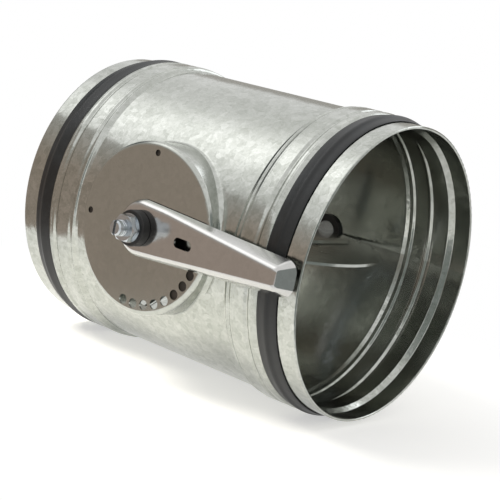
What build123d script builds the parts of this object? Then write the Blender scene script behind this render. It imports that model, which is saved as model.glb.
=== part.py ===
from build123d import *
import os
from math import acos, atan2, cos, degrees, hypot, radians, sin, sqrt, tan

os.makedirs("parts", exist_ok=True)

# Round duct control damper, in millimetres.
# The origin is where the blade shaft crosses the duct axis.
# +X runs along the duct, -Y points to the lever and +Z is up.
# Levels along the shaft are counted from the duct axis towards the lever, on planes parallel to Plane.XZ.

# Casing: one rolled and formed galvanised sheet
sheet = 0.8
duct_radius = 80.0
spigot_clearance = 0.5
body_clearance = 0.4
body_length = 107.2
step_rise = 1.2
step_flank_length = 2.4
step_length = 1.7
bead_rise = 2.3
bead_flank_length = 1.4
bead_crest_length = 8.6
valley_depth = 1.0
valley_flank_length = 1.7
lip_length = 1.8
seat_drop = 2.1
seat_flank_length = 2.5
seat_length = 8.6
collar_flank_length = 3.2
collar_length = 10.8
hem_length = 8.0
hem_nose_radius = 0.75
form_radius = 1.1

# Dial boss drawn out of the side of the casing
boss_radius = 45.0
boss_rise = 6.1
boss_edge_radius = 2.4
boss_foot_radius = 2.4

# Index holes round the dial, and two pilot holes on the same circle
dial_circle_radius = 39.5
dial_hole_radius = 2.6
dial_hole_count = 10
dial_first_angle = -1.2
dial_pitch_angle = 10.65
pilot_hole_radius = 1.7
pilot_hole_angles = (90.0, 180.0)

# Lip seals, held in the seats
seal_foot_height = 1.6
seal_gap = 0.3
seal_rear_lip_rise = 2.5
seal_front_lip_rise = 2.1
seal_lip_thickness = 1.0
seal_lip_run = 4.4
seal_lip_pitch = 6.6

# Shaft and the bushes that carry it
shaft_radius = 6.0
running_clearance = 0.05
fixed_clearance = 0.05
bush_wall = 2.0
bush_flange_radius = 10.0
bush_flange_thickness = 2.0
near_bush_inside = 3.0
far_bush_outside = 2.2
square_across = 8.0
square_recess = 0.2
thread_radius = 4.0
thread_chamfer = 0.8
end_slot_width = 1.6
end_slot_depth = 1.8
far_shaft_overhang = 2.4

# Retaining rings in grooves of the shaft
ring_radius = 8.6
ring_thickness = 1.0
ring_groove_depth = 0.9
ring_mouth = 7.0
end_play = 0.3

# Blade on the flat of the shaft
blade_gap = 1.6
blade_thickness = 1.5
blade_end_clearance = 0.6
flat_end_clearance = 0.3
rib_offset = 30.0
rib_width = 8.0
rib_height = 1.6
rib_end_margin = 14.0
rib_wall_angle = 35.0

# Pan-head screws through the blade into the shaft
screw_radius = 2.0
screw_depth = 4.2
screw_head_radius = 4.0
screw_head_height = 2.4
screw_head_edge = 1.2
screw_slot_width = 1.2
screw_slot_depth = 1.1
screw_offset = 48.0
screw_count = 3

# Lever: a pressed pan, open towards the dial, whose face is level at the hub and rises towards the tip
lever_sheet = 1.2
lever_dial_gap = 0.9
lever_hub_depth = 4.0
lever_tip_rise = 7.0
lever_level_length = 16.0
lever_rise_radius = 60.0
lever_wall_angle = 20.0
lever_hub_radius = 15.0
lever_tip_half_width = 9.2
lever_tip_radius = 6.4
lever_reach = 100.5
lever_bend_radius = 4.0
slot_start = 26.7
slot_end = 39.3
slot_width = 5.2

# Stack on the shaft end, from the lever outwards
friction_washer_radius = 9.4
friction_washer_thickness = 5.2
friction_washer_edge = 0.7
plain_washer_radius = 7.6
plain_washer_thickness = 1.2
nut_across_flats = 13.0
nut_height = 4.0
nut_corner_angle = 30.0
washer_clearance = 0.2
thread_overhang = 6.1

# Sizes and levels that follow from the above
body_radius = duct_radius - body_clearance
collar_radius = duct_radius - spigot_clearance
step_radius = body_radius + step_rise
bead_radius = body_radius + bead_rise
valley_radius = bead_radius - valley_depth
seat_radius = collar_radius - seat_drop
inner_radius = body_radius - sheet
boss_face = body_radius + boss_rise
step_foot = body_length / 2
step_start = step_foot + step_flank_length
step_end = step_start + step_length
crest_start = step_end + bead_flank_length
crest_end = crest_start + bead_crest_length
valley_middle = crest_end + valley_flank_length
lip_start = valley_middle + valley_flank_length
lip_end = lip_start + lip_length
seat_start = lip_end + seat_flank_length
seat_end = seat_start + seat_length
collar_start = seat_end + collar_flank_length
half_length = collar_start + collar_length
wall_end = half_length - sheet
lever_edge = boss_face + lever_dial_gap
lever_face = lever_edge + lever_hub_depth
lever_web_inside = lever_face - lever_sheet
friction_washer_face = lever_face + friction_washer_thickness
plain_washer_face = friction_washer_face + plain_washer_thickness
nut_face = plain_washer_face + nut_height
thread_end = nut_face + thread_overhang
bush_radius = shaft_radius + running_clearance + bush_wall
bush_hole_radius = bush_radius + fixed_clearance
near_bush_back = boss_face - sheet - near_bush_inside
near_bush_front = lever_web_inside - end_play
far_bush_back = -(inner_radius - bush_flange_thickness)
far_bush_front = -(body_radius + far_bush_outside)
near_ring_level = near_bush_back - end_play - ring_thickness
far_ring_level = far_bush_front - end_play - ring_thickness
far_shaft_end = far_ring_level - far_shaft_overhang
groove_radius = shaft_radius - ring_groove_depth
blade_radius = inner_radius - blade_gap
blade_half_width = inner_radius - bush_flange_thickness - blade_end_clearance
flat_half_length = blade_half_width + flat_end_clearance
blade_face = blade_thickness / 2


def duct_outline(inset):
    """Corners of the rolled wall over one half of the casing, moved towards the axis by inset."""
    corners = [
        (0, body_radius),
        (step_foot, body_radius),
        (step_start, step_radius),
        (step_end, step_radius),
        (crest_start, bead_radius),
        (crest_end, bead_radius),
        (valley_middle, valley_radius),
        (lip_start, bead_radius),
        (lip_end, bead_radius),
        (seat_start, seat_radius),
        (seat_end, seat_radius),
        (collar_start, collar_radius),
        (wall_end, collar_radius),
    ]
    slopes = [atan2(b[1] - a[1], b[0] - a[0]) for a, b in zip(corners, corners[1:])]
    moved = []
    for corner, before, after in zip(corners, slopes[:1] + slopes, slopes + slopes[-1:]):
        # half-way between the two runs, so that the wall keeps its thickness on both
        reach = inset / cos((after - before) / 2)
        lean = (before + after) / 2
        moved.append((corner[0] + reach * sin(lean), corner[1] - reach * cos(lean)))
    return moved


# Air space inside the casing: the duct and the hollow of the boss
with BuildPart() as air_space:
    with BuildSketch(Plane.XY):
        with BuildLine():
            wall = FilletPolyline(*duct_outline(sheet), radius=form_radius)
            Polyline(wall @ 1, (wall_end, 0), (0, 0), wall @ 0)
        make_face()
    revolve(axis=Axis.X)
    mirror(about=Plane.YZ)
    with BuildSketch(Plane.XZ):
        Circle(boss_radius - sheet)
    extrude(amount=boss_face - sheet)
    fillet(air_space.edges(Select.LAST).filter_by(GeomType.BSPLINE), radius=boss_foot_radius + sheet)
    fillet(air_space.faces().filter_by(Axis.Y).edges(), radius=boss_edge_radius - sheet)

# Casing
with BuildPart() as casing:
    with BuildSketch(Plane.XY):
        with BuildLine():
            wall = FilletPolyline(*duct_outline(0), radius=form_radius)
            Polyline(wall @ 1, (wall_end, 0), (0, 0), wall @ 0)
        make_face()
    revolve(axis=Axis.X)
    mirror(about=Plane.YZ)
    with BuildSketch(Plane.XZ):
        Circle(boss_radius)
    extrude(amount=boss_face)
    fillet(casing.edges(Select.LAST).filter_by(GeomType.BSPLINE), radius=boss_foot_radius)
    fillet(casing.faces().filter_by(Axis.Y).edges(), radius=boss_edge_radius)
    add(air_space.part, mode=Mode.SUBTRACT)
    # each collar's edge is turned in and flattened into a hem
    with BuildSketch(Plane.XY) as hem_section:
        hem_middle = half_length - hem_length / 2
        with Locations((-hem_middle, collar_radius - sheet), (hem_middle, collar_radius - sheet)):
            Rectangle(hem_length, 2 * sheet)
        corners = hem_section.vertices().group_by(Axis.X)
        fillet(corners[0] + corners[-1], radius=hem_nose_radius)
    revolve(axis=Axis.X)
    # holes for the two bushes
    with BuildSketch(Plane.XZ.offset(boss_face)):
        Circle(bush_hole_radius)
    extrude(amount=-near_bush_inside, mode=Mode.SUBTRACT)
    with BuildSketch(Plane.XZ.offset(far_bush_front)):
        Circle(bush_hole_radius)
    extrude(amount=far_bush_back - far_bush_front, mode=Mode.SUBTRACT)
    # index holes and pilot holes in the dial
    dial_sweep = (dial_hole_count - 1) * dial_pitch_angle
    with BuildSketch(Plane.XZ.offset(boss_face)):
        with PolarLocations(
            dial_circle_radius, dial_hole_count, dial_first_angle - dial_sweep, dial_sweep, endpoint=True
        ):
            Circle(dial_hole_radius)
        for angle in pilot_hole_angles:
            with PolarLocations(dial_circle_radius, 1, angle):
                Circle(pilot_hole_radius)
    extrude(amount=-2 * sheet, mode=Mode.SUBTRACT)
casing.part.label = "casing"
export_step(casing.part, "parts/casing.step")

# Lip seals: a foot in the seat and two lips that lean back towards the middle of the casing
foot_start = seat_start + form_radius
foot_end = collar_start - seal_gap
foot_top = seat_radius + seal_foot_height
rear_lip_radius = collar_radius + seal_rear_lip_rise
front_lip_radius = collar_radius + seal_front_lip_rise
front_root = foot_end - seal_lip_thickness
rear_root = front_root - seal_lip_pitch
seal_outline = [
    (foot_start, seat_radius),
    (seat_end - form_radius, seat_radius),
    (foot_end, collar_radius + seal_gap),
    (foot_end, collar_radius + 2 * seal_gap),
    (front_root - seal_lip_run, front_lip_radius),
    (front_root - seal_lip_run - seal_lip_thickness, front_lip_radius - seal_lip_thickness / 2),
    (front_root - seal_lip_thickness, foot_top),
    (rear_root, foot_top),
    (rear_root - seal_lip_run, rear_lip_radius),
    (rear_root - seal_lip_run - seal_lip_thickness, rear_lip_radius - seal_lip_thickness / 2),
    (rear_root - 2 * seal_lip_thickness, foot_top),
    (foot_start, foot_top),
]
for name, side in (("seal_left", -1), ("seal_right", 1)):
    with BuildPart() as seal:
        with BuildSketch(Plane.XY):
            with BuildLine():
                Polyline(*[(side * x, r) for x, r in seal_outline], close=True)
            make_face()
        revolve(axis=Axis.X)
    seal.part.label = name
    export_step(seal.part, f"parts/{name}.step")

# Near bush: stands in the dial boss and carries the shaft and the lever
with BuildPart() as near_bush:
    with BuildSketch(Plane.XZ.offset(near_bush_back)):
        Circle(bush_radius)
    extrude(amount=near_bush_front - near_bush_back)
    with BuildSketch(Plane.XZ.offset(boss_face)):
        Circle(bush_flange_radius)
    extrude(amount=bush_flange_thickness)
    with BuildSketch(Plane.XZ.offset(near_bush_back)):
        Circle(shaft_radius + running_clearance)
    extrude(amount=near_bush_front - near_bush_back, mode=Mode.SUBTRACT)
near_bush.part.label = "near_bush"
export_step(near_bush.part, "parts/near_bush.step")

# Far bush: its flange is curved to lie against the inside of the casing
with BuildPart() as far_bush:
    with BuildSketch(Plane.XZ.offset(far_bush_back)):
        Circle(bush_flange_radius)
    extrude(amount=-bush_flange_thickness)
    Cylinder(inner_radius - fixed_clearance, body_length, rotation=(0, 90, 0), mode=Mode.INTERSECT)
    with BuildSketch(Plane.XZ.offset(far_bush_back)):
        Circle(bush_radius)
    extrude(amount=far_bush_front - far_bush_back)
    with BuildSketch(Plane.XZ.offset(far_bush_back)):
        Circle(shaft_radius + running_clearance)
    extrude(amount=far_bush_front - far_bush_back, mode=Mode.SUBTRACT)
far_bush.part.label = "far_bush"
export_step(far_bush.part, "parts/far_bush.step")

# Shaft: round, with a flat for the blade, a square for the lever and a slotted, threaded end
with BuildPart() as shaft:
    with BuildSketch(Plane.XZ.offset(far_shaft_end)):
        Circle(shaft_radius)
    extrude(amount=lever_web_inside - far_shaft_end)
    with BuildSketch(Plane.XZ.offset(lever_web_inside)):
        Rectangle(square_across, square_across)
    extrude(amount=lever_sheet - square_recess)
    with BuildSketch(Plane.XZ.offset(lever_web_inside)):
        Circle(thread_radius)
    extrude(amount=thread_end - lever_web_inside)
    shaft_ends = shaft.edges().filter_by(GeomType.CIRCLE).sort_by(Axis.Y)
    chamfer([shaft_ends[0], shaft_ends[-1]], length=thread_chamfer)
    # slot for a screwdriver in the threaded end
    with BuildSketch(Plane.XZ.offset(thread_end)):
        Rectangle(end_slot_width, 2 * thread_radius)
    extrude(amount=-end_slot_depth, mode=Mode.SUBTRACT)
    with BuildSketch(Plane.XY.offset(-blade_face)):
        Rectangle(2 * shaft_radius, 2 * flat_half_length)
    extrude(amount=shaft_radius + blade_thickness, mode=Mode.SUBTRACT)
    with BuildSketch(Plane.XY.offset(-blade_face)):
        with GridLocations(screw_offset, screw_offset, 1, screw_count):
            Circle(screw_radius)
    extrude(amount=-screw_depth, mode=Mode.SUBTRACT)
    for level in (near_ring_level, far_ring_level):
        with BuildSketch(Plane.XZ.offset(level)):
            Circle(shaft_radius)
            Circle(groove_radius, mode=Mode.SUBTRACT)
        extrude(amount=ring_thickness, mode=Mode.SUBTRACT)
shaft.part.label = "shaft"
export_step(shaft.part, "parts/shaft.step")

# Retaining rings: open rings that snap into the grooves
with BuildPart() as retaining_rings:
    for level in (near_ring_level, far_ring_level):
        with BuildSketch(Plane.XZ.offset(level)):
            Circle(ring_radius)
            Circle(groove_radius + fixed_clearance, mode=Mode.SUBTRACT)
            with Locations((0, -ring_radius)):
                Rectangle(ring_mouth, 2 * (ring_radius - groove_radius), mode=Mode.SUBTRACT)
        extrude(amount=ring_thickness)
retaining_rings.part.label = "retaining_rings"
export_step(retaining_rings.part, "parts/retaining_rings.step")

# Blade: a round sheet with a straight edge at each end of the shaft and two pressed ribs
rib_length = 2 * sqrt(blade_radius**2 - rib_offset**2) - 2 * rib_end_margin
with BuildPart() as blade:
    with BuildSketch(Plane.XY.offset(-blade_face)):
        Circle(blade_radius)
        Rectangle(2 * blade_radius, 2 * blade_half_width, mode=Mode.INTERSECT)
        with GridLocations(screw_offset, screw_offset, 1, screw_count):
            Circle(screw_radius + washer_clearance, mode=Mode.SUBTRACT)
    extrude(amount=blade_thickness)
    with BuildSketch(Plane.XY.offset(blade_face)):
        with GridLocations(2 * rib_offset, 1, 2, 1):
            SlotOverall(rib_length, rib_width, rotation=90)
    extrude(amount=rib_height, taper=rib_wall_angle)
    rib_groove_width = rib_width - 2 * blade_thickness * (1 - cos(radians(rib_wall_angle)))
    with BuildSketch(Plane.XY.offset(-blade_face)):
        with GridLocations(2 * rib_offset, 1, 2, 1):
            SlotOverall(rib_length, rib_groove_width, rotation=90)
    extrude(amount=rib_height, taper=rib_wall_angle, mode=Mode.SUBTRACT)
blade.part.label = "blade"
export_step(blade.part, "parts/blade.step")

# Screws that hold the blade down on the flat
with BuildPart() as blade_screws:
    with BuildSketch(Plane.XY.offset(blade_face)):
        with GridLocations(screw_offset, screw_offset, 1, screw_count):
            Circle(screw_head_radius)
    extrude(amount=screw_head_height)
    fillet(blade_screws.edges().group_by(Axis.Z)[-1], radius=screw_head_edge)
    with BuildSketch(Plane.XY.offset(blade_face + screw_head_height)):
        with GridLocations(screw_offset, screw_offset, 1, screw_count):
            Rectangle(2 * screw_head_radius, screw_slot_width)
    extrude(amount=-screw_slot_depth, mode=Mode.SUBTRACT)
    with BuildSketch(Plane.XY.offset(blade_face)):
        with GridLocations(screw_offset, screw_offset, 1, screw_count):
            Circle(screw_radius - fixed_clearance)
    extrude(amount=-(blade_thickness + screw_depth - fixed_clearance))
blade_screws.part.label = "blade_screws"
export_step(blade_screws.part, "parts/blade_screws.step")

# Lever: walls that lean inwards from the dial side to the face, hollow behind.
# Each section has a round hub end, straight sides that touch it and a rounded square tip,
# all drawn in by the section's inset. A side profile then cuts the face.
tip_centre = (lever_reach - lever_tip_radius, lever_tip_half_width - lever_tip_radius)
side_angle = degrees(
    atan2(tip_centre[1], tip_centre[0]) + acos((lever_hub_radius - lever_tip_radius) / hypot(*tip_centre))
)
wall_lean = tan(radians(lever_wall_angle))
wall_inset = lever_sheet / cos(radians(lever_wall_angle))
pressings = []
for drop, inset, bend in (
    (0, 0, lever_bend_radius),
    (lever_sheet, wall_inset, lever_bend_radius - lever_sheet),
):
    tip_depth = lever_hub_depth + lever_tip_rise - drop
    with BuildPart() as pressing:
        for height in (0, tip_depth):
            hub_radius = lever_hub_radius - inset - height * wall_lean
            tip_radius = lever_tip_radius - inset - height * wall_lean
            with BuildSketch(Plane.XZ.offset(lever_edge + height)):
                with BuildLine():
                    hub = CenterArc((0, 0), hub_radius, 180, side_angle - 180)
                    tip = CenterArc(tip_centre, tip_radius, side_angle, -side_angle)
                    Line(hub @ 1, tip @ 0)
                    Line(tip @ 1, (tip_centre[0] + tip_radius, 0))
                    mirror(about=Plane.XZ)
                make_face()
        loft(ruled=True)
        with BuildSketch(Plane.XY):
            with BuildLine():
                face = FilletPolyline(
                    (-lever_hub_radius, drop - lever_face),
                    (lever_level_length, drop - lever_face),
                    (lever_reach, drop - lever_face - lever_tip_rise),
                    radius=lever_rise_radius,
                )
                Polyline(face @ 1, (lever_reach, -lever_edge), (-lever_hub_radius, -lever_edge), face @ 0)
            make_face()
        extrude(amount=lever_hub_radius, both=True, mode=Mode.INTERSECT)
        face_edges = pressing.faces().filter_by(lambda f: f.normal_at().Y < -0.9).edges()
        tip_edges = face_edges.filter_by(Axis.Z).group_by(Axis.X)[-1]
        fillet(face_edges.filter_by(Axis.Z, reverse=True) + tip_edges, radius=bend)
    pressings.append(pressing.part)
with BuildPart() as lever:
    add(pressings[0])
    add(pressings[1], mode=Mode.SUBTRACT)
    with BuildSketch(Plane.XZ.offset(lever_edge)):
        Rectangle(square_across, square_across)
        with Locations(((slot_start + slot_end) / 2, 0)):
            SlotOverall(slot_end - slot_start, slot_width)
    extrude(amount=lever_hub_depth + lever_tip_rise, mode=Mode.SUBTRACT)
lever.part.label = "lever"
export_step(lever.part, "parts/lever.step")

# Friction washer
with BuildPart() as friction_washer:
    with BuildSketch(Plane.XZ.offset(lever_face)):
        Circle(friction_washer_radius)
        Circle(thread_radius + washer_clearance, mode=Mode.SUBTRACT)
    extrude(amount=friction_washer_thickness)
    rims = friction_washer.edges().filter_by(lambda e: e.geom_type == GeomType.CIRCLE)
    fillet(rims.sort_by(SortBy.RADIUS)[-2:], radius=friction_washer_edge)
friction_washer.part.label = "friction_washer"
export_step(friction_washer.part, "parts/friction_washer.step")

# Plain washer
with BuildPart() as plain_washer:
    with BuildSketch(Plane.XZ.offset(friction_washer_face)):
        Circle(plain_washer_radius)
        Circle(thread_radius + washer_clearance, mode=Mode.SUBTRACT)
    extrude(amount=plain_washer_thickness)
plain_washer.part.label = "plain_washer"
export_step(plain_washer.part, "parts/plain_washer.step")

# Lock nut, with its corners turned down at both ends
nut_corner_radius = nut_across_flats / 2 / cos(radians(30))
corner_drop = (nut_corner_radius - nut_across_flats / 2) * tan(radians(nut_corner_angle))
with BuildPart() as lock_nut:
    with BuildSketch(Plane.XZ.offset(plain_washer_face)):
        RegularPolygon(nut_corner_radius, 6)
        Circle(thread_radius + fixed_clearance, mode=Mode.SUBTRACT)
    extrude(amount=nut_height)
    with BuildSketch(Plane.XY):
        with BuildLine():
            Polyline(
                (0, -plain_washer_face),
                (nut_across_flats / 2, -plain_washer_face),
                (nut_corner_radius, -plain_washer_face - corner_drop),
                (nut_corner_radius, -nut_face + corner_drop),
                (nut_across_flats / 2, -nut_face),
                (0, -nut_face),
                close=True,
            )
        make_face()
    revolve(axis=Axis.Y, mode=Mode.INTERSECT)
lock_nut.part.label = "lock_nut"
export_step(lock_nut.part, "parts/lock_nut.step")
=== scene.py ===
import bpy
import numpy as np
from mathutils import Matrix, Vector


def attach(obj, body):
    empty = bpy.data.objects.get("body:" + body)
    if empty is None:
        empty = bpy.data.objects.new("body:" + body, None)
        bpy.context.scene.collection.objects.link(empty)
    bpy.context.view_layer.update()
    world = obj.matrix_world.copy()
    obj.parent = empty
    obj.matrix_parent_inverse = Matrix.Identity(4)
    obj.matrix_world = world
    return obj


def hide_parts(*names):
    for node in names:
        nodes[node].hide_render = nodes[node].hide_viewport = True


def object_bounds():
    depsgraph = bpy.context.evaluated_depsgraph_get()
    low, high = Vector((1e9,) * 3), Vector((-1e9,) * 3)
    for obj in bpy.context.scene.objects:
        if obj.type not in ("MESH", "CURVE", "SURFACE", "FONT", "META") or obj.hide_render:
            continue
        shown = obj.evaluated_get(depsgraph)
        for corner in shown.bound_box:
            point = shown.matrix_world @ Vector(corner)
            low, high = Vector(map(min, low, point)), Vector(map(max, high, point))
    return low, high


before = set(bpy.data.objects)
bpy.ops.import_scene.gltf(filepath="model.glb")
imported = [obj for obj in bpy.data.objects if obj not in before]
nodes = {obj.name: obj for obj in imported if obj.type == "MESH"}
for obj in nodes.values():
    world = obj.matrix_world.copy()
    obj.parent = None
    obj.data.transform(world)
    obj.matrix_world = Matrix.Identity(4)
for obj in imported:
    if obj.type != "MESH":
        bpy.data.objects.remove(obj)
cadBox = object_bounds()
mm = 0.001
pureWhite = (1.0, 1.0, 1.0, 1.0)
middleGrey = (0.5, 0.5, 0.5, 1.0)
print("frame loaded:", len(nodes), "nodes")


def linear(hexColour):  # sRGB hex to the linear RGBA that sockets take
    parts = [int(hexColour[i:i + 2], 16) / 255 for i in (1, 3, 5)]
    return [p / 12.92 if p <= 0.04045 else ((p + 0.055) / 1.055) ** 2.4 for p in parts] + [1.0]


def addNode(tree, kind, settings=None, **links):
    # settings are node properties or socket values, links name a socket and give what feeds it;
    # a socket that is known by its place is "1" in settings and i1 in links
    node = tree.nodes.new("ShaderNode" + kind)
    for key, value in (settings or {}).items():
        if hasattr(node, key):
            setattr(node, key, value)
        else:
            node.inputs[int(key) if key.isdigit() else key].default_value = value
    for key, source in links.items():
        byPlace = key[0] == "i" and key[1:].isdigit()
        tree.links.new(source, node.inputs[int(key[1:]) if byPlace else key])
    return node


def emptyMaterial(name):  # a material with no nodes yet, and its tree
    material = bpy.data.materials.new(name)
    material.use_nodes = True
    material.node_tree.nodes.clear()
    return material, material.node_tree


def newMaterial(name):  # a material, its tree and its Principled shader
    material, tree = emptyMaterial(name)
    shader = addNode(tree, "BsdfPrincipled")
    addNode(tree, "OutputMaterial", Surface=shader.outputs["BSDF"])
    return material, tree, shader


def dress(material, *names):
    for name in names:
        nodes[name].data.materials.clear()
        nodes[name].data.materials.append(material)


# hot-dip galvanised sheet: zinc frozen in leaf-like crystals, which the eye sees as a soft grey mottle
# that breaks up each reflection, with a dull oxide bloom between bright patches
# shared by all sheets: sizes as shares of a crystal, shares of the layers in the mix, run and depth in mm
zincLook = {"warpSize": 2.4, "warpPush": 0.55, "leafSize": 0.36, "leafShare": 0.42, "bloomShare": 0.5,
            "bloomRoughness": 0.62, "toneRange": (0.3, 0.7), "roughRange": (0.3, 0.72),
            "pressedShare": 0.7, "pressedRun": 0.8, "rippleDepth": 0.1}


def galvanised(name, look):
    material, tree, shader = newMaterial(name)
    place = addNode(tree, "TexCoord").outputs["Object"]
    size = look["crystal"] * mm
    warp = addNode(tree, "TexNoise", {"Scale": 1 / (size * zincLook["warpSize"]), "Detail": 2.0},
                   Vector=place)
    pushed = addNode(tree, "MixRGB", {"blend_type": "LINEAR_LIGHT", "Fac": size * zincLook["warpPush"]},
                     Color1=place, Color2=warp.outputs["Color"]).outputs["Color"]
    crystal = addNode(tree, "TexVoronoi", {"Scale": 1 / size}, Vector=pushed)
    leaf = addNode(tree, "TexVoronoi", {"Scale": 1 / (size * zincLook["leafSize"])}, Vector=pushed)
    bloom = addNode(tree, "TexNoise", {"Scale": 1 / (look["bloom"] * mm), "Detail": 5.0,
                                       "Roughness": zincLook["bloomRoughness"]}, Vector=place)
    shade = addNode(tree, "MixRGB", {"Fac": zincLook["leafShare"]},
                    Color1=crystal.outputs["Color"], Color2=leaf.outputs["Color"]).outputs["Color"]
    grey = addNode(tree, "RGBToBW", Color=shade)
    mottle = addNode(tree, "MixRGB", {"Fac": zincLook["bloomShare"]},
                     Color1=grey.outputs["Val"], Color2=bloom.outputs["Fac"])
    # a face pressed flat in the die, further out than look["pressed"], has lost most of its crystals
    front = addNode(tree, "SeparateXYZ", Vector=place).outputs["Y"]
    flat = addNode(tree, "MapRange", {"From Min": -look["pressed"] * mm,
                                      "From Max": -(look["pressed"] + zincLook["pressedRun"]) * mm,
                                      "To Max": zincLook["pressedShare"]}, Value=front).outputs["Result"]
    worn = addNode(tree, "MixRGB", {"Color2": middleGrey}, Fac=flat,
                   Color1=mottle.outputs["Color"]).outputs["Color"]
    tone = addNode(tree, "ValToRGB", Fac=worn)
    stops = tone.color_ramp.elements
    stops[0].position, stops[1].position = zincLook["toneRange"]
    stops[0].color, stops[1].color = linear(look["dull"]), linear(look["bright"])
    tree.links.new(tone.outputs["Color"], shader.inputs["Base Color"])
    smooth, coarse = look["roughness"]
    roughFrom, roughTo = zincLook["roughRange"]
    rough = addNode(tree, "MapRange", {"From Min": roughFrom, "From Max": roughTo,
                                       "To Min": coarse, "To Max": smooth}, Value=worn)
    tree.links.new(rough.outputs["Result"], shader.inputs["Roughness"])
    # each crystal lies a little askew, so its patch mirrors another part of the room
    centred = addNode(tree, "VectorMath", {"operation": "SUBTRACT", "1": middleGrey[:3]}, i0=shade)
    lean = addNode(tree, "Math", {"operation": "MULTIPLY_ADD", "1": -look["tilt"], "2": look["tilt"]},
                   i0=flat)
    tilt = addNode(tree, "VectorMath", {"operation": "SCALE"}, i0=centred.outputs["Vector"],
                   Scale=lean.outputs["Value"])
    ripple = addNode(tree, "TexNoise", {"Scale": 1 / (look["ripple"] * mm), "Detail": 3.0}, Vector=place)
    bump = addNode(tree, "Bump", {"Strength": look["bump"], "Distance": zincLook["rippleDepth"] * mm},
                   Height=ripple.outputs["Fac"])
    askew = addNode(tree, "VectorMath", {"operation": "ADD"}, i0=bump.outputs["Normal"],
                    i1=tilt.outputs["Vector"])
    unit = addNode(tree, "VectorMath", {"operation": "NORMALIZE"}, i0=askew.outputs["Vector"])
    tree.links.new(unit.outputs["Vector"], shader.inputs["Normal"])
    shader.inputs["Metallic"].default_value = 1.0
    return material


# sizes in mm; tilt is a share of the normal; roughness runs from bright crystals to dull ones;
# the blade has no pressed face, so there that size lies past everything
casingLook = {"crystal": 3.4, "bloom": 42.0, "ripple": 7.0, "bump": 0.1, "tilt": 0.04,
              "dull": "#a5a8a1", "bright": "#c1c3be", "roughness": (0.13, 0.23), "pressed": 84.4}
bladeLook = {"crystal": 7.0, "bloom": 50.0, "ripple": 40.0, "bump": 0.03, "tilt": 0.01,
             "dull": "#a8aaa5", "bright": "#bec0bb", "roughness": (0.2, 0.28), "pressed": 200.0}
leverLook = {"crystal": 3.0, "bloom": 30.0, "ripple": 8.0, "bump": 0.05, "tilt": 0.018,
             "dull": "#b9b8b6", "bright": "#cfcfcd", "roughness": (0.1, 0.17), "pressed": 84.4}
casingSheet = galvanised("galvanisedCasingSheet", casingLook)
dress(casingSheet, "casing")
dress(galvanised("galvanisedBladeSheet", bladeLook), "blade")
dress(galvanised("galvanisedLeverPressing", leverLook), "lever")
print("galvanised sheet done")


# zinc-plated turned steel: a bluish bright skin over fine tool marks, coarser than real so that they show
platedLook = {"colour": "#cdd3d8", "stain": "#a9adb0", "stainSize": 3.0, "turning": 0.35, "bump": 0.12,
              "depth": 0.05, "roughness": (0.16, 0.3)}
# phosphated spring steel: the same marks under a dull near-black skin
springLook = {"colour": "#45464a", "stain": "#2e2f31", "stainSize": 2.0, "turning": 0.3, "bump": 0.12,
              "depth": 0.05, "roughness": (0.32, 0.5)}


def turnedSteel(name, look):
    material, tree, shader = newMaterial(name)
    place = addNode(tree, "TexCoord").outputs["Object"]
    cloud = addNode(tree, "TexNoise", {"Scale": 1 / (look["stainSize"] * mm), "Detail": 4.0},
                    Vector=place).outputs["Fac"]
    tone = addNode(tree, "MixRGB", {"Color1": linear(look["stain"]), "Color2": linear(look["colour"])},
                   Fac=cloud)
    tree.links.new(tone.outputs["Color"], shader.inputs["Base Color"])
    smooth, coarse = look["roughness"]
    rough = addNode(tree, "MapRange", {"To Min": coarse, "To Max": smooth}, Value=cloud)
    tree.links.new(rough.outputs["Result"], shader.inputs["Roughness"])
    marks = addNode(tree, "TexNoise", {"Scale": 1 / (look["turning"] * mm), "Detail": 2.0}, Vector=place)
    bump = addNode(tree, "Bump", {"Strength": look["bump"], "Distance": look["depth"] * mm},
                   Height=marks.outputs["Fac"])
    tree.links.new(bump.outputs["Normal"], shader.inputs["Normal"])
    shader.inputs["Metallic"].default_value = 1.0
    return material


plated = turnedSteel("zincPlatedTurnedSteel", platedLook)
dress(plated, "shaft", "blade_screws", "plain_washer", "lock_nut")
dress(turnedSteel("phosphatedSpringSteel", springLook), "retaining_rings")
print("plated steel done")


# black rubber and nylon: a dark skin with a broad soft sheen, dusty in patches and finely grained;
# the grain is drawn coarser than the real one so that it shows; the dark felt-like pad behind the dial, which
# is painted shade, is the same with no sheen
sealLook = {"colour": "#0d0f10", "dust": "#1b1e20", "dustSize": 14.0, "grain": 0.9, "bump": 0.3,
            "roughness": (0.36, 0.52), "ior": 1.52}
washerLook = {"colour": "#131314", "dust": "#242424", "dustSize": 5.0, "grain": 0.6, "bump": 0.35,
              "roughness": (0.45, 0.62), "ior": 1.52}
nylonLook = {"colour": "#1a1a1b", "dust": "#29292a", "dustSize": 6.0, "grain": 0.5, "bump": 0.2,
             "roughness": (0.35, 0.5), "ior": 1.53}
# painted shade: the dark, sheenless look of the pad behind the dial
paintedShadeLook = {"colour": "#2a2521", "dust": "#3d362f", "dustSize": 4.0, "grain": 0.4, "bump": 0.5,
            "roughness": (0.7, 0.85), "ior": 1.45}
dustLook = {"range": (0.42, 0.75), "roughness": 0.65, "grainDepth": 0.08}  # shared by the four


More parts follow.
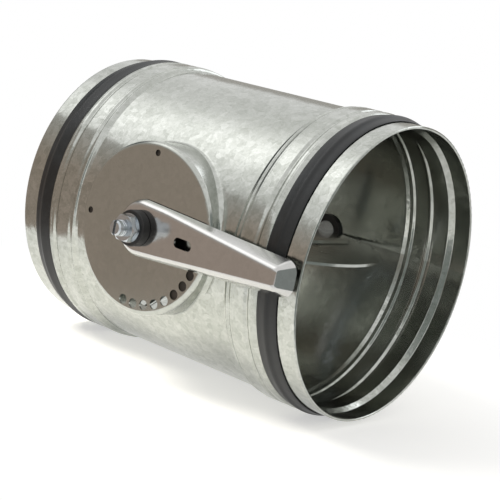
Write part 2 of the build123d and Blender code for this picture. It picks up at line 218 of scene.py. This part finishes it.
def blackPolymer(name, look):
    material, tree, shader = newMaterial(name)
    place = addNode(tree, "TexCoord").outputs["Object"]
    dust = addNode(tree, "TexNoise", {"Scale": 1 / (look["dustSize"] * mm), "Detail": 5.0,
                                      "Roughness": dustLook["roughness"]}, Vector=place).outputs["Fac"]
    patch = addNode(tree, "MapRange", {"From Min": dustLook["range"][0], "From Max": dustLook["range"][1]},
                    Value=dust)
    tone = addNode(tree, "MixRGB", {"Color1": linear(look["colour"]), "Color2": linear(look["dust"])},
                   Fac=patch.outputs["Result"])
    tree.links.new(tone.outputs["Color"], shader.inputs["Base Color"])
    smooth, coarse = look["roughness"]
    rough = addNode(tree, "MapRange", {"To Min": smooth, "To Max": coarse}, Value=dust)
    tree.links.new(rough.outputs["Result"], shader.inputs["Roughness"])
    grain = addNode(tree, "TexNoise", {"Scale": 1 / (look["grain"] * mm), "Detail": 3.0}, Vector=place)
    bump = addNode(tree, "Bump", {"Strength": look["bump"], "Distance": dustLook["grainDepth"] * mm},
                   Height=grain.outputs["Fac"])
    tree.links.new(bump.outputs["Normal"], shader.inputs["Normal"])
    shader.inputs["IOR"].default_value = look["ior"]
    return material


sealRubber = blackPolymer("extrudedSealRubber", sealLook)
dress(blackPolymer("mouldedHardRubber", washerLook), "friction_washer")
dress(blackPolymer("mouldedBlackNylon", nylonLook), "near_bush", "far_bush")
# painted shade: the dark felt-like material of the pad that darkens the dial's holes
shadePadMaterial = blackPolymer("paintedShadePadFelt", paintedShadeLook)
print("rubber, nylon and felt done")


def gridMesh(name, points, material, closed):
    # points is a grid (rows, columns, 3) in metres; closed says which of the two ways runs back to its start
    rows, columns = points.shape[:2]
    i, j = np.meshgrid(np.arange(rows - (not closed[0])), np.arange(columns - (not closed[1])), indexing="ij")
    nextRow = (i + 1) % rows
    nextColumn = (j + 1) % columns
    quads = np.stack([i * columns + j, nextRow * columns + j,
                      nextRow * columns + nextColumn, i * columns + nextColumn], -1)
    mesh = bpy.data.meshes.new(name)
    mesh.from_pydata(points.reshape(-1, 3), [], quads.reshape(-1, 4))
    mesh.polygons.foreach_set("use_smooth", np.ones(len(mesh.polygons), dtype=bool))
    mesh.materials.append(material)
    piece = bpy.data.objects.new(name, mesh)
    bpy.context.scene.collection.objects.link(piece)
    return piece


def smoothLoop(corners, steps):
    # a closed curve through the corners: between two of them a cubic, whose slope at each is half the step
    # from the corner before it to the one after
    p = np.asarray(corners, dtype=float)[:, None, :]
    s = np.linspace(0, 1, steps, endpoint=False)[None, :, None]
    before, after, beyond = np.roll(p, 1, 0), np.roll(p, -1, 0), np.roll(p, -2, 0)
    slopeIn, slopeOut = (after - before) / 2, (beyond - p) / 2
    curve = ((2 * s**3 - 3 * s**2 + 1) * p + (s**3 - 2 * s**2 + s) * slopeIn
             + (3 * s**2 - 2 * s**3) * after + (s**3 - s**2) * slopeOut)
    return curve.reshape(-1, 2)


def ring(name, shape, way, material):
    # the closed loop carried round the duct axis, point = (x, r cos a, r sin a);
    # way is the end of the duct, -1 or 1, and the turn runs so that the faces look outwards
    loop = smoothLoop(shape["corners"], shape["steps"])[:, None, :] * mm
    turn = np.linspace(0, -way * 2 * np.pi, shape["round"], endpoint=False)[None, :]
    along, radius = loop[..., 0], loop[..., 1]
    points = np.stack([way * along + 0 * turn, radius * np.cos(turn), radius * np.sin(turn)], -1)
    return gridMesh(name, points, material, (True, True))


# seals, mm along the duct and out from its axis: a foot in the seat, a rib that leans outwards
# and a flat skirt beside the collar
sealShape = {"corners": [(76.6, 77.45), (76.0, 79.2), (75.3, 80.4), (75.5, 80.95), (76.4, 81.15),
                         (77.9, 81.35), (79.3, 81.62), (80.4, 81.86), (81.2, 81.93), (82.0, 81.7),
                         (82.8, 81.25), (83.6, 80.95), (84.6, 80.75), (85.8, 80.55), (86.8, 80.3),
                         (87.2, 80.0), (87.1, 79.75), (86.6, 79.5), (83.2, 77.45)],
             "steps": 6, "round": 192}
for name, node, way in (("sealBandLeft", "seal_left", -1), ("sealBandRight", "seal_right", 1)):
    seal = ring(name, sealShape, way, sealRubber)
    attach(seal, "casing")
    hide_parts(node)
print("seals done")

# stiffening ridge rolled into each step, with a soft run up to the stop bead, mm along the duct and out
# from its axis
ridgeShape = {"corners": [(54.9, 80.1), (55.4, 80.7), (55.9, 81.3), (56.4, 81.5), (57.0, 81.4),
                          (57.5, 81.25), (58.2, 81.45), (59.0, 81.85), (59.5, 81.95), (60.2, 81.92),
                          (60.0, 81.5), (57.5, 80.6), (55.8, 79.9)], "steps": 6, "round": 192}
# rolled edge that closes the lip down to the seal
edgeShape = {"corners": [(72.4, 81.2), (72.7, 81.85), (73.2, 81.92), (74.0, 81.7), (74.8, 81.35),
                         (75.5, 80.9), (75.8, 80.3), (75.4, 79.6), (73.6, 80.2)], "steps": 6, "round": 192}
for name, shape, way in (("stopRidgeLeft", ridgeShape, -1), ("stopRidgeRight", ridgeShape, 1),
                         ("sealEdgeLeft", edgeShape, -1), ("sealEdgeRight", edgeShape, 1)):
    rolled = ring(name, shape, way, casingSheet)
    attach(rolled, "casing")
print("ridges and edges done")

# weld along the back of the casing: a low rounded strip with ripples, point = (x, -r cos a, r sin a),
# r = body + height * sqrt(1 - s^2) * (1 + ripple * sin(2 pi x / pitch + lag * s^2)),
# where s runs from -1 to 1 across it, and the height runs out at both ends
weldShape = {"body": 79.55, "half": 52.6, "angle": 208.0, "width": 1.8, "height": 0.4, "ripple": 0.35,
             "pitch": 1.6, "lag": 2.2, "runOut": 1.5, "along": 700, "across": 9}
x = np.linspace(-weldShape["half"], weldShape["half"], weldShape["along"])[:, None]
s = np.linspace(-1, 1, weldShape["across"])[None, :]
endFade = np.sqrt(np.clip((weldShape["half"] - np.abs(x)) / weldShape["runOut"], 0, 1))
ripple = 1 + weldShape["ripple"] * np.sin(2 * np.pi * x / weldShape["pitch"] + weldShape["lag"] * s**2)
radius = weldShape["body"] + weldShape["height"] * np.sqrt(1 - s**2) * ripple * endFade
angle = np.radians(weldShape["angle"]) + s * weldShape["width"] / 2 / weldShape["body"]
seam = np.stack([x + 0 * s, -radius * np.cos(angle), radius * np.sin(angle)], -1) * mm
weld = gridMesh("casingWeld", seam, casingSheet, (False, False))
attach(weld, "casing")
print("weld done")


def squared(wave, power):  # a wave with flatter tops: its sign times its size to a power under 1
    return np.sign(wave) * np.abs(wave) ** power


# painted shade behind the dial, over the pilot holes and the upper index holes, so that those holes look
# dark: a flat dark strip with rounded edges bent round the shaft, point = (r cos a, y, r sin a), where r and
# y run round the strip's section
shadePadShape = {"middle": 39.0, "half": 3.2, "front": 84.85, "thick": 1.6, "edge": 0.35,
            "from": -49.0, "to": 192.0, "runOut": 0.02, "round": 120, "section": 24}
around = np.linspace(0, 2 * np.pi, shadePadShape["section"], endpoint=False)[None, :]
angle = np.radians(np.linspace(shadePadShape["from"], shadePadShape["to"], shadePadShape["round"]))[:, None]
toEnd = np.minimum(angle - angle[0], angle[-1] - angle)
runOut = np.clip(toEnd / shadePadShape["runOut"], 0.0, 1.0)  # both ends close to a line
radius = shadePadShape["middle"] + shadePadShape["half"] * squared(np.cos(around), shadePadShape["edge"]) * runOut
halfThick = shadePadShape["thick"] / 2
level = shadePadShape["front"] - halfThick + halfThick * squared(np.sin(around), shadePadShape["edge"]) * runOut
strip = np.stack([radius * np.cos(angle), -level, radius * np.sin(angle)], -1) * mm
pad = gridMesh("paintedShadeDialPad", strip, shadePadMaterial, (False, True))
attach(pad, "casing")
print("dial pad done")

# thread on the shaft's end: a low ridge with sloping flanks wound round it,
# point = ((r cos a, r sin a) across, a * pitch / 2 pi along); land is the crest's share of the ridge's width
threadShape = {"start": 101.1, "turns": 3.2, "pitch": 1.25, "root": 3.9, "crest": 4.25, "flank": 0.5,
               "land": 0.15, "round": 40}
steps = int(threadShape["turns"] * threadShape["round"])
angle = np.linspace(0, 2 * np.pi * threadShape["turns"], steps)[:, None]
taper = np.clip(np.minimum(angle, angle[-1] - angle) / np.pi, 0, 1)  # the ridge runs out over half a turn
crest = threadShape["root"] + (threadShape["crest"] - threadShape["root"]) * taper
root = 0 * crest + threadShape["root"]
radius = np.concatenate([root, crest, crest, root], 1)
across = np.array([-1.0, -threadShape["land"], threadShape["land"], 1.0]) * threadShape["flank"]
along = threadShape["start"] + angle * threadShape["pitch"] / (2 * np.pi) + across
ridge = np.stack([radius * np.cos(angle), -along, radius * np.sin(angle)], -1) * mm
thread = gridMesh("shaftThread", ridge, plated, (False, False))
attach(thread, "blade")
print("thread done")

# camera, from the fit to the rims and the dial, in mm; the picture is square
cameraLook = {"place": (446.64, -580.42, 111.25), "right": (0.75854, 0.61972, 0.20141),
              "up": (-0.26029, 0.00480, 0.96552), "forward": (-0.59738, 0.78481, -0.16495),
              "lens": 94.49, "sensor": 36.0, "clip": (0.01, 100.0)}
cameraData = bpy.data.cameras.new("camera")
cameraData.lens = cameraLook["lens"]
cameraData.sensor_width = cameraLook["sensor"]
cameraData.clip_start, cameraData.clip_end = cameraLook["clip"]
camera = bpy.data.objects.new("camera", cameraData)
axes = Matrix([Vector(cameraLook["right"]), Vector(cameraLook["up"]), -Vector(cameraLook["forward"])])
camera.matrix_world = Matrix.Translation(Vector(cameraLook["place"]) * mm) @ axes.transposed().to_4x4()
bpy.context.scene.collection.objects.link(camera)
bpy.context.scene.camera = camera
print("camera done")


def flatSheet(name, corners, material):  # a flat four-cornered mesh that isn't part of the object
    mesh = bpy.data.meshes.new(name)
    mesh.from_pydata(corners, [], [(0, 1, 2, 3)])
    mesh.materials.append(material)
    sheet = bpy.data.objects.new(name, mesh)
    bpy.context.scene.collection.objects.link(sheet)
    return sheet


def whiteRays(tree):  # 1 for rays from the camera and for those that metal, rubber or glass mirror or pass on
    path = addNode(tree, "LightPath").outputs
    mirrored = addNode(tree, "Math", {"operation": "MAXIMUM"}, i0=path["Is Glossy Ray"],
                       i1=path["Is Transmission Ray"]).outputs["Value"]
    either = addNode(tree, "Math", {"operation": "MAXIMUM"}, i0=path["Is Camera Ray"], i1=mirrored)
    return either.outputs["Value"]


# pale paper floor, in metres: camera and mirror rays see it lifted towards white, it keeps the soft shadow,
# and far out it is plain white
floorLook = {"half": 6.0, "gap": 0.0002, "paper": "#dddbd5", "lift": 0.5, "fadeFrom": 0.11, "fadeTo": 0.3}
low = cadBox[0].z - floorLook["gap"]
half = floorLook["half"]
material, tree = emptyMaterial("whitePaperSweep")
paper = addNode(tree, "BsdfDiffuse", {"Color": linear(floorLook["paper"])})
seenRay = whiteRays(tree)
lifted = addNode(tree, "Math", {"operation": "MULTIPLY", "1": floorLook["lift"]}, i0=seenRay)
lift = addNode(tree, "Emission", Strength=lifted.outputs["Value"])
near = addNode(tree, "AddShader", i0=paper.outputs["BSDF"], i1=lift.outputs["Emission"])
place = addNode(tree, "TexCoord").outputs["Object"]
reach = addNode(tree, "VectorMath", {"operation": "LENGTH"}, i0=place)
fade = addNode(tree, "MapRange", {"interpolation_type": "SMOOTHSTEP", "From Min": floorLook["fadeFrom"],
                                  "From Max": floorLook["fadeTo"]}, Value=reach.outputs["Value"])
seenFade = addNode(tree, "Math", {"operation": "MULTIPLY"}, i0=fade.outputs["Result"], i1=seenRay)
farWhite = addNode(tree, "Emission", {"Color": pureWhite})
sweep = addNode(tree, "MixShader", i0=seenFade.outputs["Value"], i1=near.outputs["Shader"],
                i2=farWhite.outputs["Emission"])
addNode(tree, "OutputMaterial", Surface=sweep.outputs["Shader"])
floorCorners = [(-half, -half, low), (half, -half, low), (half, half, low), (-half, half, low)]
flatSheet("floor", floorCorners, material)
print("floor done")


def mirrorCard(name, material, first, last, top):  # an upright card between two feet, seen by mirror rays
    foot = low + mm
    card = flatSheet(name, [(*first, foot), (*last, foot), (*last, top), (*first, top)], material)
    card.visible_camera = False
    card.visible_diffuse = False
    card.visible_shadow = False


# a brown flag stands left in front, out of sight, and gives the dial and the lever their warm reflection
flagLook = {"away": (-0.62, -0.78), "side": (0.78, -0.62), "far": 0.205, "half": 0.6, "brownTop": 0.035,
            "top": 0.115, "brown": "#b1a398", "pale": "#c2c1be"}
material, tree = emptyMaterial("brownFlagCard")
height = addNode(tree, "SeparateXYZ", Vector=addNode(tree, "TexCoord").outputs["Object"]).outputs["Z"]
rise = addNode(tree, "MapRange", {"From Min": flagLook["brownTop"], "From Max": flagLook["top"]},
               Value=height)
tint = addNode(tree, "MixRGB", {"Color1": linear(flagLook["brown"]), "Color2": linear(flagLook["pale"])},
               Fac=rise.outputs["Result"])
glow = addNode(tree, "Emission", Color=tint.outputs["Color"])
addNode(tree, "OutputMaterial", Surface=glow.outputs["Emission"])
flagFoot = np.array(flagLook["away"]) * flagLook["far"]
flagRun = np.array(flagLook["side"]) * flagLook["half"]
mirrorCard("flag", material, flagFoot - flagRun, flagFoot + flagRun, flagLook["top"])

# grey cards, out of sight: one to the right for the faces turned that way, one behind for the upper edge
cardLook = {"sideCard": {"material": "darkSideCard", "first": (0.2, -0.27), "last": (0.2, 0.05),
                         "top": 0.12, "colour": "#929896"},
            "backCard": {"material": "greyBackCard", "first": (-1.6, 0.7), "last": (0.4, 0.7),
                         "top": 0.42, "colour": "#aeaba5"}}
for name, look in cardLook.items():
    material, tree = emptyMaterial(look["material"])
    glow = addNode(tree, "Emission", {"Color": linear(look["colour"])})
    addNode(tree, "OutputMaterial", Surface=glow.outputs["Emission"])
    mirrorCard(name, material, look["first"], look["last"], look["top"])
print("cards done")

# soft boxes; the metal shows the room's own bright patch in place of the key
lampLook = {"key": {"place": (-0.62, -0.68, 0.86), "size": (0.6, 0.45), "power": 18.5, "colour": "#fffdf8",
                    "mirrored": False},
            "back": {"place": (0.35, 1.2, 0.8), "size": (1.2, 0.8), "power": 4.0, "colour": "#f4f8ff",
                     "mirrored": True}}
for name, lamp in lampLook.items():
    lightData = bpy.data.lights.new(name, "AREA")
    lightData.shape = "RECTANGLE"
    lightData.size, lightData.size_y = lamp["size"]
    lightData.energy = lamp["power"]
    lightData.color = linear(lamp["colour"])[:3]
    light = bpy.data.objects.new(name, lightData)
    aim = Vector(lamp["place"]).to_track_quat("Z", "Y").to_matrix().to_4x4()  # it looks at the origin
    light.matrix_world = Matrix.Translation(lamp["place"]) @ aim
    light.visible_glossy = lamp["mirrored"]
    bpy.context.scene.collection.objects.link(light)
print("lamps done")

# room: plain white to the camera; in mirrors white too, with a dark left end and soft bright patches,
# patch = strength * e^(sharpness * (cosine from its centre - 1)); the light it gives comes from a grey
# that is darker at the horizon, with the same end and patches
roomLook = {"horizon": "#a5a29b", "middle": "#bfbfbd", "top": "#c4c5c6", "levels": (0.05, 0.4, 0.95),
            "darkEnd": "#5a5e60", "endFrom": -0.7, "endTo": -0.86,
            "patches": (((-0.6, -0.24, 0.763), 1.0, 22.0), ((-0.38, 0.42, 0.83), 0.25, 70.0))}
world = bpy.data.worlds.new("room")
bpy.context.scene.world = world
world.use_nodes = True
tree = world.node_tree
tree.nodes.clear()
direction = addNode(tree, "TexCoord").outputs["Generated"]
heading = addNode(tree, "SeparateXYZ", Vector=direction).outputs
ramp = addNode(tree, "ValToRGB", Fac=heading["Z"])
stops = ramp.color_ramp.elements
stops[0].position, stops[1].position = roomLook["levels"][0], roomLook["levels"][2]
stops[0].color, stops[1].color = linear(roomLook["horizon"]), linear(roomLook["top"])
stops.new(roomLook["levels"][1]).color = linear(roomLook["middle"])
base = addNode(tree, "MixRGB", {"Color2": pureWhite}, Fac=whiteRays(tree), Color1=ramp.outputs["Color"])
ending = addNode(tree, "MapRange", {"interpolation_type": "SMOOTHSTEP", "From Min": roomLook["endFrom"],
                                    "From Max": roomLook["endTo"]}, Value=heading["X"])
lit = addNode(tree, "MixRGB", {"Color2": linear(roomLook["darkEnd"])}, Fac=ending.outputs["Result"],
              Color1=base.outputs["Color"])
for centre, strength, sharpness in roomLook["patches"]:
    cosine = addNode(tree, "VectorMath", {"operation": "DOT_PRODUCT", "1": centre}, i0=direction)
    slope = addNode(tree, "Math", {"operation": "MULTIPLY_ADD", "1": sharpness, "2": -sharpness},
                    i0=cosine.outputs["Value"])
    lobe = addNode(tree, "Math", {"operation": "EXPONENT"}, i0=slope.outputs["Value"])
    patch = addNode(tree, "Math", {"operation": "MULTIPLY", "1": strength}, i0=lobe.outputs["Value"])
    lit = addNode(tree, "MixRGB", {"blend_type": "ADD", "Fac": 1.0}, Color1=lit.outputs["Color"],
                  Color2=patch.outputs["Value"])
seen = addNode(tree, "MixRGB", {"Color2": pureWhite}, Fac=addNode(tree, "LightPath").outputs["Is Camera Ray"],
               Color1=lit.outputs["Color"])
background = addNode(tree, "Background", Color=seen.outputs["Color"])
addNode(tree, "OutputWorld", Surface=background.outputs["Background"])
bpy.context.scene.view_settings.view_transform = "Standard"
print("room done")

bpy.context.view_layer.update()
